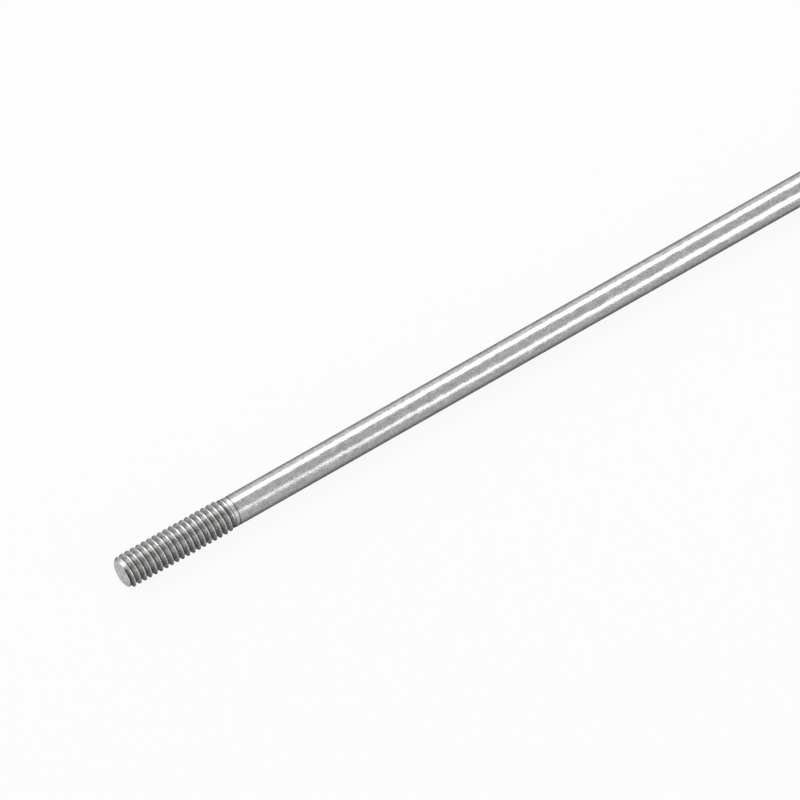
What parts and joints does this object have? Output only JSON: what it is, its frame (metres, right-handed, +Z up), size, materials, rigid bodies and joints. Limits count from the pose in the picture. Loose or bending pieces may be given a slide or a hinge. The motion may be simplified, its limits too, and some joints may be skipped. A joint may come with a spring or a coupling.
{
  "type": "double ended stud",
  "caption": "Long stainless steel stud with a fine right-hand thread on each end and a plain round shank between them.",
  "frame": {"origin": "the stud's middle, on its axis, half way between the two end faces", "axes": "+X along the stud's axis, +Z up; the two ends are alike"},
  "size_m": [0.15, 0.0038, 0.0038],
  "materials": {
    "steel": "drawn stainless steel, bright, with fine marks along its length and rolled threads"
  },
  "bodies": {
    "root": {"stud": "steel"}
  },
  "joints": []
}
